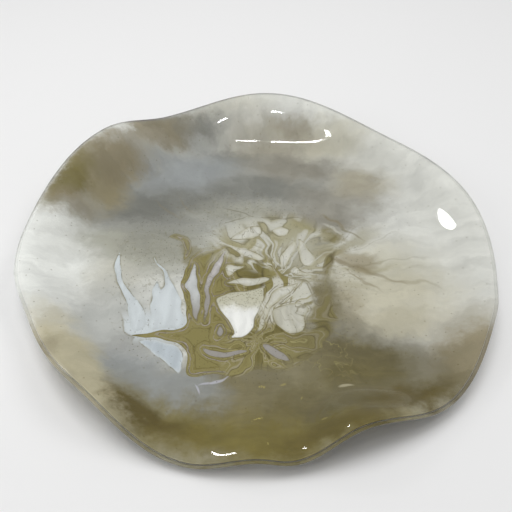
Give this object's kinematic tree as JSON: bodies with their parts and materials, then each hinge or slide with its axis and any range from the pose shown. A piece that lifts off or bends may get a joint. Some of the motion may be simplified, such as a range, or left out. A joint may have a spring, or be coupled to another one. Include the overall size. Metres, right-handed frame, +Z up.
{
  "type": "resin dish",
  "caption": "Shallow free-form dish of clear and tinted cast resin, marbled floor and softly waved upturned rim, for serving or display.",
  "frame": {"origin": "centre of the dish on the plane of its flat underside", "axes": "+Z up out of the dish, +X to the right and +Y to the back as the picture sees it, the marbled swirl lying to the front left"},
  "size_m": [0.3118, 0.3144, 0.035],
  "materials": {
    "clear_resin": "clear cast resin, polished by its own flow",
    "pearl_resin": "milky translucent cast resin",
    "taupe_resin": "cloudy tinted cast resin",
    "smoke_resin": "cloudy tinted cast resin",
    "sand_resin": "cloudy tinted cast resin",
    "olive_resin": "tinted cast resin with fine mica",
    "white_resin": "opaque white cast resin",
    "cream_resin": "cream cast resin",
    "lilac_resin": "lilac grey cast resin"
  },
  "bodies": {
    "root": {"base_coat": "clear_resin", "flood_coat": "clear_resin", "pearl_right": "pearl_resin", "pearl_back_right": "pearl_resin", "taupe_back": "taupe_resin", "smoke_back": "smoke_resin", "olive_back_left": "olive_resin", "pearl_left": "pearl_resin", "sand_left": "sand_resin", "olive_front_left": "olive_resin", "olive_front": "olive_resin", "olive_front_right": "olive_resin", "swirl_ground": "smoke_resin", "olive_star": "olive_resin", "olive_curl": "olive_resin", "white_petal_outer": "white_resin", "white_petal_inner": "white_resin", "white_spike": "white_resin", "white_wedge": "white_resin", "white_heart": "white_resin", "cream_cell": "cream_resin", "cream_veil": "cream_resin", "cream_drops": "cream_resin", "pearl_leaves": "pearl_resin", "lilac_streaks": "lilac_resin"}
  },
  "joints": []
}
